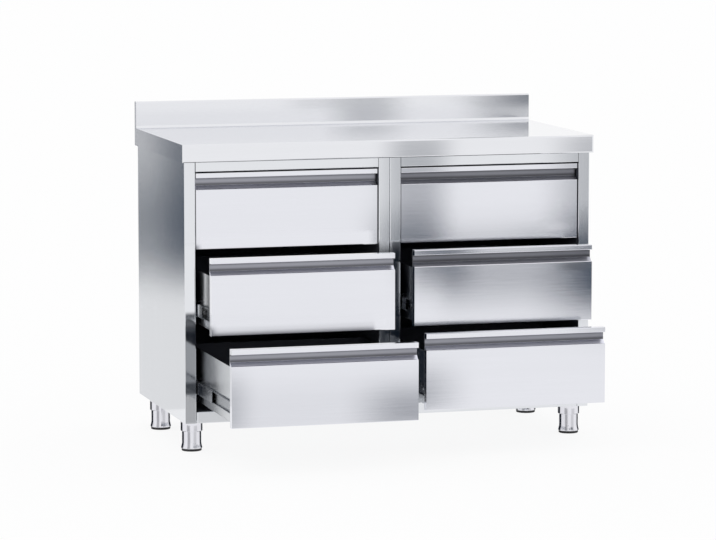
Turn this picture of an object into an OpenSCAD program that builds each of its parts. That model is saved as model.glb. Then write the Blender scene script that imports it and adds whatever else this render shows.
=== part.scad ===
// Stainless steel worktop cabinet with six drawers on telescopic ball runners.
// +X is to the right, +Y to the back, +Z up. The origin is on the floor, under the middle of the worktop.
// Everything folded is one sheet: its outer line is bent round each corner and then given
// the sheet's thickness.

/* [Worktop] */
// Width of the worktop
worktop_w = 1200; // [1000:10:1600]
// Depth of the worktop, upstand included
worktop_d = 600; // [560:10:750]
// Height of the work surface above the floor
worktop_z = 865; // [830:5:960]
// Height of the worktop's folded edge
edge_h = 50; // [40:1:70]
// Outside bend radius of the worktop's edges
edge_r = 4; // [2:0.5:8]
// Radius of the worktop's two front corners, seen from above
corner_r = 6; // [3:0.5:10]
// Height of the upstand along the back
upstand_h = 78; // [40:1:150]
// Thickness of the upstand
upstand_t = 20; // [12:1:40]
// Hollow radius where the worktop turns up into the upstand
upstand_r = 8; // [3:1:15]
// Thickness of the worktop's sheet
top_sheet = 1.2; // [0.8:0.1:2]
// Thickness of the board glued under the worktop's sheet
core_t = 18; // [12:1:25]
// Height of the hat profiles under the board
stiffener_h = 26; // [15:1:35]
// Width of a hat profile's flat bottom
stiffener_w = 50; // [30:1:80]
// Width of a hat profile's glued flanges
stiffener_flange = 20; // [10:1:30]
// Distance between the middles of the two rows of hat profiles
stiffener_spacing = 240; // [160:10:300]

/* [Body] */
// How far the worktop stands out past each side
side_overhang = 8; // [2:1:30]
// How far the worktop stands out past the body's front
front_overhang = 15; // [5:1:40]
// How far the worktop stands out past the body's back
rear_overhang = 2; // [2:1:20]
// Height of the body's underside above the floor
body_z = 86; // [80:1:160]
// Thickness of the body's sheets
sheet = 1; // [0.8:0.1:1.5]
// Outside bend radius of the body's sheets
bend_r = 2; // [1.6:0.1:4]
// Width of the front stile at each side
stile_w = 32; // [24:1:50]
// Width of the pillar between the two columns of drawers
pillar_w = 64; // [50:1:100]
// Depth of the returns behind the stiles and rails
return_d = 20; // [16:1:40]
// Visible height of the rail under the worktop
top_rail_h = 27; // [15:1:60]
// Height of the rail under the drawers
bottom_rail_h = 32; // [24:1:60]
// How far the rails lie behind the stiles' faces
rail_recess = 1; // [0:0.5:4]
// Gap between a rail's end and the stile or the pillar
rail_end_gap = 1.2; // [0.6:0.1:2]
// Seam between two folded sheets that meet
seam = 0.6; // [0.3:0.1:0.9]
// Width of the channels that carry the legs
channel_w = 84; // [70:1:120]
// Thickness of these channels
channel_sheet = 2; // [1.5:0.5:3]

/* [Drawers] */
// Gap at each side of a drawer front
side_gap = 3; // [2:0.5:6]
// Gap over the top drawer fronts
top_gap = 3.5; // [3:0.5:15]
// Gap between two drawer fronts
row_gap = 5.5; // [3:0.5:15]
// Gap under the bottom drawer fronts
bottom_gap = 15; // [4:1:30]
// How far a closed drawer front lies behind the stiles
front_recess = 6; // [0:1:10]
// Thickness of a drawer front
front_t = 22; // [20:1:30]
// Height of the lip over the grip
lip_h = 15; // [10:1:25]
// Height of the grip's mouth
grip_h = 31; // [24:1:45]
// Depth of the grip
grip_d = 17; // [12:1:17]
// Height of the slope at the bottom of the grip
grip_slope_h = 10; // [4:1:14]
// Depth of the level ledge in front of that slope
grip_ledge_d = 6; // [3:1:8]
// Thickness of the cheek that closes each end of a front
cheek_t = 3; // [1.5:0.5:5]
// Height of the drawer box's walls
box_h = 151; // [80:1:155]
// Height of the box's underside above the front's lower edge
box_lift = 9; // [5:1:20]
// Depth of the drawer boxes, and the length of their runners
box_d = 490; // [400:5:500]
// Height of the hem folded down inside along the box's walls
hem_h = 10; // [6:1:20]

/* [Runners] */
// Space for one runner between the body and the drawer box
runner_space = 12.7; // [12.5:0.1:14]
// Height of the cabinet's member
runner_h = 45.6; // [40:0.2:50]
// How much shorter the middle member is
middle_shorter = 30; // [10:5:60]
// Thickness of the runners' steel
runner_sheet = 1.2; // [1:0.1:1.5]
// Height of the runners' middle above the front's lower edge
runner_lift = 52; // [40:1:80]

/* [Legs] */
// Distance from the body's side to the middle of a leg
leg_inset_x = 34; // [32:1:80]
// Distance from the body's front to the middle of the front legs
leg_front_y = 69; // [60:1:120]
// Distance from the body's back to the middle of the rear legs
leg_rear_y = 128; // [60:1:160]
// Outside radius of the leg's sleeve
sleeve_r = 31; // [30:0.5:33]
// Height of the sleeve
sleeve_h = 30; // [25:1:60]
// Outside radius of the foot's neck
neck_r = 27.5; // [22:0.5:27.5]
// Largest radius of the foot
foot_r = 30; // [28:0.5:36]
// Height at which the foot starts to widen
flare_z = 26; // [20:1:40]
// Thickness of the foot's rubber pad
pad_t = 7; // [3:1:8]

/* [Drawers as shown] */
// How far the top left drawer is open
open_top_left = 0; // [0:5:470]
// How far the top right drawer is open
open_top_right = 0; // [0:5:470]
// How far the middle left drawer is open
open_middle_left = 175; // [0:5:470]
// How far the middle right drawer is open
open_middle_right = 130; // [0:5:470]
// How far the bottom left drawer is open
open_bottom_left = 400; // [0:5:470]
// How far the bottom right drawer is open
open_bottom_right = 245; // [0:5:470]

/* [Hidden] */

// Rows and columns, and how far each drawer is open
TOP = 0;
MIDDLE = 1;
BOTTOM = 2;
LEFT = -1;
RIGHT = 1;
FRONT = -1;
REAR = 1;
function opened(row, side) =
    [[open_top_left, open_top_right],
     [open_middle_left, open_middle_right],
     [open_bottom_left, open_bottom_right]][row][side == LEFT ? 0 : 1];

// Steps in a bend, clearance of pieces that move on each other, and clearance round a screw
bend_steps = 3;
running = 0.4;
screw_play = 0.2;

// Outline of the worktop and the body
half_w = worktop_w / 2;
half_d = worktop_d / 2;
edge_bottom = worktop_z - edge_h;
core_bottom = worktop_z - top_sheet - core_t;
body_x = half_w - side_overhang;
body_front = -half_d + front_overhang;
body_rear = half_d - rear_overhang;
back_inside = body_rear - 2 * sheet;

// Openings for the drawers
opening_top = edge_bottom - top_rail_h;
opening_bottom = body_z + bottom_rail_h;
bay_outer = body_x - stile_w;
bay_inner = pillar_w / 2;
bay_w = bay_outer - bay_inner;
bay_middle = (bay_outer + bay_inner) / 2;

// Drawer fronts and boxes, with y counted from the front's face
rows = 3;
front_w = bay_w - 2 * side_gap;
front_h = (opening_top - opening_bottom - top_gap - bottom_gap - (rows - 1) * row_gap) / rows;
front_face = body_front + front_recess;
box_w = bay_w - 2 * runner_space;
function front_bottom(row) = opening_bottom + bottom_gap + (rows - 1 - row) * (front_h + row_gap);

// Screwed tabs behind a front: how far they reach back, their height and the heights of their screws
tab_d = 20;
tab_h = 13;
tab_screw_d = 11;
tab_rise = 7.5;
tab_drop = 26;
tab_low = box_lift + tab_rise;
tab_high = box_lift + box_h - tab_drop;
// How far the folds behind a front lap over the box
front_lap = 6;
// Hairline left along the welds of a box, how far its sides' bend reaches in, and where they end
weld_seam = 0.2;
box_bend = bend_r + sheet / 2;
box_end = sheet + weld_seam;

// Screws of the drawer, the back and the legs
screw_r = 2;
screw_head_r = 3.8;
screw_head_h = 2;
leg_screw_r = 3;
leg_screw_head_r = 5;
leg_screw_head_h = 4;
leg_screw_circle = 16;
leg_screw_len = 9;

// Runner members, seen along the runner: u from the wall, v from the runner's middle
runner_flange = 8.8;
runner_lip = 2.6;
telescope_u = 2.4;
telescope_flange = 10.9;
slide_u = 6;
slide_half = 16;
telescope_half = slide_half + running + runner_sheet;
runner_bend_r = 2;
runner_lip_r = 1.8;
runner_gap = 1;
runner_start = front_t + runner_gap;

// Balls between the cabinet's member and the middle one: their reach ends just short of the race
race_v = runner_h / 2 - runner_sheet;
ball_r = (race_v - telescope_half - running / 2) / 2 + 0.2;
ball_wall_gap = 1.4;
ball_u = runner_sheet + ball_wall_gap + ball_r;
ball_pitch = 3 * ball_r;
balls = 8;

// A drawer member's slot at its front end, and its screws counted from the front's back
slot_r = 3.2;
slot_y = front_t + 12;
runner_screw_front = 35;
runner_screw_rear = 40;

// Legs: insides, the rim under a foot's flare, and the pad
sleeve_wall = 2;
sleeve_top_t = 3;
boss_r = 10;
boss_lift = 4;
spindle_r = 6;
neck_wall = 3;
neck_top = body_z - 14;
spindle_top = body_z - 12;
foot_floor = pad_t + 9;
foot_rim_h = 4;
flare_steps = 6;
chamfer = 1;
pad_r = foot_r - 2;

// Vectors and bends

function unit(v) = v / norm(v);

function left_of(v) = [-v.y, v.x];

function bend(a, b, c, r) =
    let (
        u = unit(a - b),
        w = unit(c - b),
        half = acos(u * w) / 2,
        middle = b + unit(u + w) * (r / sin(half)),
        from = b + u * (r / tan(half)) - middle,
        to = b + w * (r / tan(half)) - middle,
        start = atan2(from.y, from.x),
        sweep = (atan2(to.y, to.x) - start + 540) % 360 - 180
    )
    [
        for (i = [0:bend_steps])
            let (a = start + sweep * i / bend_steps)
            middle + r * [cos(a), sin(a)]
    ];

// A line with its inner corners bent by one radius, or by a list with a radius for each
function bent(line, r) = [
    line[0],
    for (i = [1:len(line) - 2])
        each bend(line[i - 1], line[i], line[i + 1], is_list(r) ? r[i - 1] : r),
    line[len(line) - 1],
];

// The line moved to its left by t, mitred at each corner
function beside(line, t) = [
    for (i = [0:len(line) - 1])
        let (
            n = left_of(unit(line[max(i, 1)] - line[max(i, 1) - 1])),
            m = left_of(unit(line[min(i + 1, len(line) - 1)] - line[min(i + 1, len(line) - 1) - 1]))
        )
        line[i] + t * (n + m) / (1 + n * m)
];

function reversed(line) = [for (i = [len(line) - 1:-1:0]) line[i]];

// A folded sheet's section: t is its thickness, to the left of the line, or to its right if negative
module folded(line, t) {
    polygon(concat(line, reversed(beside(line, t))));
}

// A section in Y and Z drawn from x = from to x = to
module along_x(from, to) {
    translate([from, 0, 0])
        rotate([90, 0, 90])
            linear_extrude(to - from)
                children();
}

// A section in X and Z drawn from y = from to y = to
module along_y(from, to) {
    translate([0, to, 0])
        rotate([90, 0, 0])
            linear_extrude(to - from)
                children();
}

// A box between two corners
module block(low, high) {
    translate(low)
        cube(high - low);
}

module on_side(side) {
    mirror([side == RIGHT ? 1 : 0, 0, 0])
        children();
}

// Worktop: one sheet folded into edge, top and upstand, with welded ends. The edge turns in under
// the overhang at the front and at both sides, and ends plain at the back.

worktop_line = bent(
    [[body_front - seam, edge_bottom], [-half_d, edge_bottom], [-half_d, worktop_z],
     [half_d - upstand_t, worktop_z], [half_d - upstand_t, worktop_z + upstand_h],
     [half_d, worktop_z + upstand_h], [half_d, edge_bottom]],
    [edge_r, edge_r, upstand_r, edge_r, edge_r]);

module worktop() {
    color("gainsboro") {
        difference() {
            worktop_folds();
            for (side = [LEFT, RIGHT])
                on_side(side)
                    corner_waste();
        }
        for (side = [LEFT, RIGHT])
            on_side(side)
                corner_wall();
    }
}

module worktop_folds() {
    along_x(-half_w, half_w)
        folded(worktop_line, -top_sheet);
    for (side = [LEFT, RIGHT])
        on_side(side) {
            along_x(-half_w, -half_w + top_sheet)
                polygon(worktop_line);
            block([-half_w, -half_d + edge_r, edge_bottom],
                  [-body_x - seam, half_d, edge_bottom + top_sheet]);
        }
}

// A round front corner: a post on its axis, what it takes off the folds, and the wall that closes it
module corner_post(r) {
    translate([-half_w + corner_r, -half_d + corner_r, edge_bottom - 1])
        cylinder(h = edge_h + 2, r = r, $fn = 96);
}

module corner_waste() {
    difference() {
        block([-half_w - 1, -half_d - 1, edge_bottom - 1],
              [-half_w + corner_r, -half_d + corner_r, worktop_z + 1]);
        corner_post(corner_r);
    }
}

module corner_wall() {
    intersection() {
        block([-half_w, -half_d, edge_bottom],
              [-half_w + corner_r, -half_d + corner_r, worktop_z]);
        difference() {
            corner_post(corner_r);
            corner_post(corner_r - top_sheet);
        }
        along_x(-half_w, half_w)
            polygon(worktop_line);
    }
}

module worktop_core() {
    color("tan")
        block([-half_w + top_sheet + seam, -half_d + edge_r + seam, core_bottom],
              [half_w - top_sheet - seam, half_d - top_sheet - seam, worktop_z - top_sheet]);
}

stiffener_line = let (w = stiffener_w / 2)
    bent([[-w - stiffener_flange, 0], [-w, 0], [-w, -stiffener_h],
          [w, -stiffener_h], [w, 0], [w + stiffener_flange, 0]],
         bend_r);

module worktop_stiffeners() {
    color("silver")
        for (side = [LEFT, RIGHT], y = [-stiffener_spacing / 2, stiffener_spacing / 2])
            on_side(side)
                along_x(-bay_outer + seam, -bay_inner - seam)
                    translate([y, core_bottom])
                        folded(stiffener_line, -sheet);
}

// Body

side_panel_line = let (x = -body_x)
    bent([[x + return_d, body_rear], [x, body_rear], [x, body_front],
          [x + stile_w, body_front], [x + stile_w, body_front + return_d]],
         bend_r);

module side_panel(side) {
    color("lightgray")
        difference() {
            on_side(side)
                translate([0, 0, body_z])
                    linear_extrude(core_bottom - body_z)
                        folded(side_panel_line, sheet);
            back_screw_holes();
        }
}

side_liner_line = let (x = -bay_outer)
    bent([[x, body_front + return_d + seam], [x, back_inside], [x - stile_w + 3 * sheet, back_inside]],
         bend_r);

module side_liner(side) {
    color("darkgray")
        difference() {
            on_side(side)
                translate([0, 0, opening_bottom])
                    linear_extrude(core_bottom - opening_bottom)
                        folded(side_liner_line, sheet);
            back_screw_holes();
        }
}

divider_line = let (x = -seam / 2)
    bent([[x, body_front + return_d], [x, body_front], [-bay_inner, body_front],
          [-bay_inner, back_inside], [x, back_inside]],
         bend_r);

module centre_divider(side) {
    color("lightgray")
        on_side(side)
            translate([0, 0, opening_bottom])
                linear_extrude(core_bottom - opening_bottom)
                    folded(divider_line, -sheet);
}

back_screw_x = body_x - return_d / 2;
back_screw_end = 30;
back_screw_low = opening_bottom + back_screw_end;
back_screw_high = edge_bottom - back_screw_end;
back_screws = 5;

module at_back_screws() {
    for (side = [LEFT, RIGHT], i = [0:back_screws - 1])
        translate([side * back_screw_x, body_rear,
                   back_screw_low + (back_screw_high - back_screw_low) * i / (back_screws - 1)])
            rotate([-90, 0, 0])
                children();
}

module back_screw_holes() {
    at_back_screws()
        translate([0, 0, -4 * sheet])
            cylinder(h = 5 * sheet, r = screw_r + screw_play, $fn = 32);
}

module back_panel() {
    color("lightgray")
        difference() {
            block([-body_x + bend_r + seam, back_inside, body_z + seam],
                  [body_x - bend_r - seam, body_rear - sheet, core_bottom]);
            back_screw_holes();
        }
}

bottom_line = let (face = body_front + rail_recess)
    bent([[face + return_d, body_z], [face, body_z], [face, opening_bottom],
          [back_inside, opening_bottom], [back_inside, body_z], [back_inside - return_d, body_z]],
         bend_r);

module bottom_panel() {
    color("lightgray")
        along_x(-bay_outer + rail_end_gap, bay_outer - rail_end_gap)
            folded(bottom_line, -sheet);
}

top_rail_line = let (face = body_front + rail_recess)
    bent([[face + return_d, opening_top], [face, opening_top],
          [face, core_bottom], [face + return_d, core_bottom]],
         bend_r);

module top_rails() {
    color("lightgray")
        for (side = [LEFT, RIGHT])
            on_side(side)
                along_x(-bay_outer + rail_end_gap, -bay_inner - rail_end_gap)
                    folded(top_rail_line, -sheet);
}

// Legs: channels across the base, sleeves screwed under them, and feet that screw up and down

function leg_at(side, end) =
    [side * (body_x - leg_inset_x), end == FRONT ? body_front + leg_front_y : body_rear - leg_rear_y, 0];

channel_line = let (w = channel_w / 2, top = opening_bottom - sheet)
    bent([[-w, top], [-w, body_z], [w, body_z], [w, top]], bend_r + channel_sheet);

module at_legs() {
    for (side = [LEFT, RIGHT], end = [FRONT, REAR])
        translate(leg_at(side, end))
            children();
}

module at_leg_screws() {
    at_legs()
        for (a = [45:90:315])
            rotate([0, 0, a])
                translate([leg_screw_circle, 0, 0])
                    children();
}

module base_channels() {
    color("silver")
        difference() {
            for (end = [FRONT, REAR])
                along_x(-body_x + sheet, body_x - sheet)
                    translate([leg_at(LEFT, end).y, 0])
                        folded(channel_line, channel_sheet);
            at_leg_screws()
                translate([0, 0, body_z - 1])
                    cylinder(h = channel_sheet + 2, r = leg_screw_r + screw_play, $fn = 32);
        }
}

module leg_sleeve() {
    low = body_z - sleeve_h;
    inside = body_z - sleeve_top_t;
    difference() {
        rotate_extrude($fn = 96)
            polygon([[spindle_r + running, low + boss_lift], [boss_r, low + boss_lift],
                     [boss_r, inside], [sleeve_r - sleeve_wall, inside], [sleeve_r - sleeve_wall, low],
                     [sleeve_r - chamfer, low], [sleeve_r, low + chamfer], [sleeve_r, body_z],
                     [spindle_r + running, body_z]]);
        for (a = [45:90:315])
            rotate([0, 0, a])
                translate([leg_screw_circle, 0, inside - 1])
                    cylinder(h = sleeve_top_t + 2, r = leg_screw_r + screw_play, $fn = 32);
    }
}

module leg_sleeves() {
    color("silver")
        at_legs()
            leg_sleeve();
}

module leg_screws() {
    seat = body_z + channel_sheet;
    color("silver")
        at_leg_screws() {
            translate([0, 0, seat])
                cylinder(h = leg_screw_head_h, r = leg_screw_head_r, $fn = 6);
            translate([0, 0, seat - leg_screw_len])
                cylinder(h = leg_screw_len + 1, r = leg_screw_r, $fn = 32);
        }
}

// The foot's outer line from its rim up to the neck, a quarter of a cosine wave
foot_flare = [
    for (i = [0:flare_steps])
        let (s = i / flare_steps)
        [neck_r + (foot_r - neck_r) * (1 - sin(90 * s)),
         pad_t + foot_rim_h + (flare_z - pad_t - foot_rim_h) * s]
];

module foot(side, end) {
    color("silver")
        translate(leg_at(side, end))
            rotate_extrude($fn = 96)
                polygon(concat(
                    [[0, pad_t], [foot_r - chamfer, pad_t], [foot_r, pad_t + chamfer]],
                    foot_flare,
                    [[neck_r, neck_top], [neck_r - neck_wall, neck_top], [neck_r - neck_wall, foot_floor],
                     [spindle_r, foot_floor], [spindle_r, spindle_top], [0, spindle_top]]));
}

module pad(side, end) {
    color("black")
        translate(leg_at(side, end))
            rotate_extrude($fn = 96)
                polygon([[0, 0], [pad_r - chamfer, 0], [pad_r, chamfer], [pad_r, pad_t], [0, pad_t]]);
}

// Screws: the head's underside is at z = 0 and the shank points down

module screw(r, head_r, head_h, reach) {
    rotate_extrude($fn = 48)
        polygon([[0, -reach], [r, -reach], [r, 0], [head_r, 0], [head_r, head_h / 2],
                 [head_r * 0.8, head_h * 0.85], [head_r * 0.45, head_h], [0, head_h]]);
}

module back_panel_screws() {
    color("silver")
        at_back_screws()
            screw(screw_r, screw_head_r, screw_head_h, 4 * sheet);
}

// Runners: the section's x is u from the wall and its y is v from the runner's middle

cabinet_runner_line = let (h = runner_h / 2, f = runner_flange)
    bent([[f, runner_lip - h], [f, -h], [0, -h], [0, h], [f, h], [f, h - runner_lip]],
         [runner_lip_r, runner_bend_r, runner_bend_r, runner_lip_r]);

telescope_runner_line = let (h = telescope_half, u = telescope_u)
    bent([[telescope_flange, -h], [u, -h], [u, h], [telescope_flange, h]], runner_bend_r);

drawer_runner_line = let (h = slide_half, u = runner_space)
    bent([[slide_u, -h], [u, -h], [u, h], [slide_u, h]], runner_bend_r);

// Both runners of a drawer: children are drawn with x = 0 at the bay's wall and z = 0 at the
// runner's middle
module runner_pair(row, side) {
    translate([side * bay_middle, front_face, front_bottom(row) + runner_lift])
        for (wall = [LEFT, RIGHT])
            on_side(wall)
                translate([-bay_w / 2, 0, 0])
                    children();
}

module cabinet_runners(row, side) {
    color("silver")
        runner_pair(row, side)
            along_y(runner_start, runner_start + box_d)
                folded(cabinet_runner_line, -runner_sheet);
}

// The middle member and the rows of balls that carry it in the cabinet's member
module telescope_runner() {
    rear = runner_start + box_d - middle_shorter;
    union() {
        along_y(runner_start + runner_gap, rear)
            folded(telescope_runner_line, -runner_sheet);
        for (v = [-1, 1], i = [1:balls])
            translate([ball_u, rear - i * ball_pitch, v * (race_v - running / 2 - ball_r)])
                sphere(r = ball_r, $fn = 24);
    }
}

module telescope_runners(row, side) {
    color("silver")
        translate([0, -opened(row, side) / 2, 0])
            runner_pair(row, side)
                telescope_runner();
}

module drawer_runners(row, side) {
    color("gainsboro")
        translate([0, -opened(row, side), 0])
            runner_pair(row, side)
                difference() {
                    along_y(front_t + seam / 2, front_t + box_d)
                        folded(drawer_runner_line, runner_sheet);
                    for (y = runner_screw_ys)
                        translate([0, y, 0])
                            rotate([0, 90, 0])
                                cylinder(h = 2 * runner_space, r = screw_r + screw_play, $fn = 32);
                    translate([0, slot_y, 0])
                        rotate([0, 90, 0])
                            cylinder(h = 2 * runner_space, r = slot_r, $fn = 32);
                }
}

// Places of the screws that hold a runner to the drawer box, from the front's face
runner_screw_ys = [front_t + runner_screw_front, front_t + box_d / 2,
                   front_t + box_d - runner_screw_rear];

// Drawers

front_line = let (face_top = front_h - lip_h - grip_h, lip_bottom = front_h - lip_h)
    bent([[front_t, box_lift + front_lap], [front_t, 0], [0, 0], [0, face_top],
          [grip_ledge_d, face_top], [grip_d, face_top + grip_slope_h],
          [grip_d, lip_bottom], [0, lip_bottom],
          [0, front_h], [front_t, front_h], [front_t, box_lift + box_h + seam]],
         bend_r);

module drawer_front(row, side) {
    color("whitesmoke")
        translate([side * bay_middle, front_face - opened(row, side), front_bottom(row)]) {
            along_x(-front_w / 2, front_w / 2)
                folded(front_line, -sheet);
            for (end = [LEFT, RIGHT])
                on_side(end)
                    drawer_front_end();
        }
}

// A cheek that follows the front's fold, its flange behind and the two tabs screwed to the box
module drawer_front_end() {
    along_x(-front_w / 2, -front_w / 2 + cheek_t)
        polygon(front_line);
    block([-front_w / 2, front_t - sheet, 0], [-box_w / 2, front_t, front_h]);
    for (z = [tab_low, tab_high])
        difference() {
            block([-box_w / 2 - sheet, front_t - sheet, z - tab_h / 2],
                  [-box_w / 2, front_t + tab_d, z + tab_h / 2]);
            translate([-box_w / 2 - 2 * sheet, front_t + tab_screw_d, z])
                rotate([0, 90, 0])
                    cylinder(h = 3 * sheet, r = screw_r + screw_play, $fn = 32);
        }
}

box_line = let (w = box_w / 2, low = box_lift, high = box_lift + box_h)
    bent([[-w, high], [-w, low], [w, low], [w, high]], bend_r);

box_side_line = let (w = box_w / 2, low = box_lift, high = box_lift + box_h)
    bent([[-w, high], [-w, low], [-w + box_bend, low]], bend_r);

// A side of a box: hemmed at the top, bent in below towards the floor, with its screw holes
module drawer_box_side() {
    outside = -box_w / 2;
    high = box_lift + box_h;
    difference() {
        union() {
            along_y(front_t + box_end, front_t + box_d - box_end)
                folded(box_side_line, sheet);
            block([outside + sheet, front_t + box_end + sheet, high - hem_h],
                  [outside + 2 * sheet, front_t + box_d - box_end - sheet, high]);
        }
        for (z = [tab_low, tab_high])
            translate([outside - sheet, front_t + tab_screw_d, z])
                rotate([0, 90, 0])
                    cylinder(h = 3 * sheet, r = screw_r + screw_play, $fn = 32);
        for (y = runner_screw_ys)
            translate([outside - sheet, y, runner_lift])
                rotate([0, 90, 0])
                    cylinder(h = 3 * sheet, r = screw_r + screw_play, $fn = 32);
    }
}

// The front wall of a box, hemmed on its inside
module drawer_box_end() {
    high = box_lift + box_h;
    hem_w = box_w / 2 - box_end;
    along_y(0, sheet)
        polygon(box_line);
    block([-hem_w, 0, high - hem_h], [hem_w, 2 * sheet, high]);
}

// Five sheets welded along their edges
module drawer_box(row, side) {
    floor_w = box_w / 2 - box_bend - weld_seam;
    color("gainsboro")
        translate([side * bay_middle, front_face - opened(row, side), front_bottom(row)]) {
            for (end = [LEFT, RIGHT])
                on_side(end)
                    drawer_box_side();
            block([-floor_w, front_t + box_end, box_lift],
                  [floor_w, front_t + box_d - box_end, box_lift + sheet]);
            translate([0, front_t, 0])
                drawer_box_end();
            translate([0, front_t + box_d, 0])
                mirror([0, 1, 0])
                    drawer_box_end();
        }
}

module drawer_screws(row, side) {
    color("silver")
        translate([side * bay_middle, front_face - opened(row, side), front_bottom(row)])
            for (end = [LEFT, RIGHT])
                on_side(end) {
                    for (z = [tab_low, tab_high])
                        translate([-box_w / 2 - sheet, front_t + tab_screw_d, z])
                            rotate([0, -90, 0])
                                screw(screw_r, screw_head_r, screw_head_h, 3 * sheet);
                    for (y = runner_screw_ys)
                        translate([-box_w / 2 - runner_sheet, y, runner_lift])
                            rotate([0, -90, 0])
                                screw(screw_r, screw_head_r, screw_head_h, 3 * sheet);
                }
}

worktop();
worktop_core();
worktop_stiffeners();
side_panel(LEFT);  // side_panel_left
side_panel(RIGHT);  // side_panel_right
side_liner(LEFT);  // side_liner_left
side_liner(RIGHT);  // side_liner_right
centre_divider(LEFT);  // centre_divider_left
centre_divider(RIGHT);  // centre_divider_right
back_panel();
bottom_panel();
top_rails();
base_channels();
leg_sleeves();
leg_screws();
back_panel_screws();
foot(LEFT, FRONT);  // foot_front_left
foot(RIGHT, FRONT);  // foot_front_right
foot(LEFT, REAR);  // foot_rear_left
foot(RIGHT, REAR);  // foot_rear_right
pad(LEFT, FRONT);  // pad_front_left
pad(RIGHT, FRONT);  // pad_front_right
pad(LEFT, REAR);  // pad_rear_left
pad(RIGHT, REAR);  // pad_rear_right
cabinet_runners(TOP, LEFT);  // cabinet_runners_top_left
cabinet_runners(TOP, RIGHT);  // cabinet_runners_top_right
cabinet_runners(MIDDLE, LEFT);  // cabinet_runners_middle_left
cabinet_runners(MIDDLE, RIGHT);  // cabinet_runners_middle_right
cabinet_runners(BOTTOM, LEFT);  // cabinet_runners_bottom_left
cabinet_runners(BOTTOM, RIGHT);  // cabinet_runners_bottom_right
telescope_runners(TOP, LEFT);  // telescope_runners_top_left
telescope_runners(TOP, RIGHT);  // telescope_runners_top_right
telescope_runners(MIDDLE, LEFT);  // telescope_runners_middle_left
telescope_runners(MIDDLE, RIGHT);  // telescope_runners_middle_right
telescope_runners(BOTTOM, LEFT);  // telescope_runners_bottom_left
telescope_runners(BOTTOM, RIGHT);  // telescope_runners_bottom_right
drawer_runners(TOP, LEFT);  // drawer_runners_top_left
drawer_runners(TOP, RIGHT);  // drawer_runners_top_right
drawer_runners(MIDDLE, LEFT);  // drawer_runners_middle_left
drawer_runners(MIDDLE, RIGHT);  // drawer_runners_middle_right
drawer_runners(BOTTOM, LEFT);  // drawer_runners_bottom_left
drawer_runners(BOTTOM, RIGHT);  // drawer_runners_bottom_right
drawer_front(TOP, LEFT);  // drawer_front_top_left
drawer_front(TOP, RIGHT);  // drawer_front_top_right
drawer_front(MIDDLE, LEFT);  // drawer_front_middle_left
drawer_front(MIDDLE, RIGHT);  // drawer_front_middle_right
drawer_front(BOTTOM, LEFT);  // drawer_front_bottom_left
drawer_front(BOTTOM, RIGHT);  // drawer_front_bottom_right
drawer_box(TOP, LEFT);  // drawer_box_top_left
drawer_box(TOP, RIGHT);  // drawer_box_top_right
drawer_box(MIDDLE, LEFT);  // drawer_box_middle_left
drawer_box(MIDDLE, RIGHT);  // drawer_box_middle_right
drawer_box(BOTTOM, LEFT);  // drawer_box_bottom_left
drawer_box(BOTTOM, RIGHT);  // drawer_box_bottom_right
drawer_screws(TOP, LEFT);  // drawer_screws_top_left
drawer_screws(TOP, RIGHT);  // drawer_screws_top_right
drawer_screws(MIDDLE, LEFT);  // drawer_screws_middle_left
drawer_screws(MIDDLE, RIGHT);  // drawer_screws_middle_right
drawer_screws(BOTTOM, LEFT);  // drawer_screws_bottom_left
drawer_screws(BOTTOM, RIGHT);  // drawer_screws_bottom_right
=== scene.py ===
"""Finishes, small hardware and a plain studio for a stainless steel worktop cabinet with six drawers."""

import math

import bmesh
import bpy
from mathutils import Matrix, Vector


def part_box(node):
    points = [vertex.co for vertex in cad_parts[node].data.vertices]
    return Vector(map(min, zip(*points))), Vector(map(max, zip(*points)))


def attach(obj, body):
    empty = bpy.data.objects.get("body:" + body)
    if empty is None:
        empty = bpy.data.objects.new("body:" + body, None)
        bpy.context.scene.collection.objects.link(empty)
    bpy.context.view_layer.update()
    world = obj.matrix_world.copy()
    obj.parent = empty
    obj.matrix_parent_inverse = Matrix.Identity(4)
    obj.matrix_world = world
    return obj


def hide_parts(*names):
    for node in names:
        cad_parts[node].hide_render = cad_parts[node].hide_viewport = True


bl_info = {
    "name": "Worktop Cabinet",
    "version": (1, 0, 0),
    "blender": (4, 5, 0),
    "location": "3D View > Sidebar > Cabinet",
    "description": "Finishes, hardware and a plain studio for a steel worktop cabinet with six drawers",
    "category": "Object",
}

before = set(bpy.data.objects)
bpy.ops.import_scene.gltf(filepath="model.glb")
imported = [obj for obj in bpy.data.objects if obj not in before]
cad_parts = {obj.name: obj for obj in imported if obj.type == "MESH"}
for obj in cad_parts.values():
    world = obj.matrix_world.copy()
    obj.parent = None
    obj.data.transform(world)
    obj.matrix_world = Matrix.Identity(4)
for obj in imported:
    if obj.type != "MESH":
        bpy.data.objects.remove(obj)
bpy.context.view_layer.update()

MM = 0.001
X = Vector((1, 0, 0))
Y = Vector((0, 1, 0))
Z = Vector((0, 0, 1))
ROWS = ("top", "middle", "bottom")
SIDES = ("left", "right")
DRAWERS = [f"{row}_{side}" for row in ROWS for side in SIDES]
LEGS = [f"{end}_{side}" for end in ("front", "rear") for side in SIDES]

# The inside of the body and of the drawer boxes is painted dark, as painted shade. Its finish is that of a
# porous matte surface, with much less gloss than a smooth one has.
PAINTED_SHADE_ROUGHNESS = 0.8
PAINTED_SHADE_GLOSS = 0.1
# What the painted shade leaves bare of the body: half the sheet at the sides and under the floor, the stiles
# and the folds right behind them, and the back panel's outer face
SIDE_BARE = 0.5 * MM
FRONT_BARE = 3.5 * MM
BACK_BARE = 1.5 * MM
# What the painted shade leaves bare of a drawer box: the walls' thickness and their top edges
WALL_BARE = 0.95 * MM
EDGE_BARE = 0.3 * MM

# Where the skins of a drawer front begin: the grip's below the lip and behind the face, and the
# back's behind the grip
LIP_HEIGHT = 15 * MM
GRIP_START = 1.5 * MM
BACK_START = 20.5 * MM
GRIP_ROUGHNESS = 0.3
BACK_ROUGHNESS = 0.5
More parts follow.
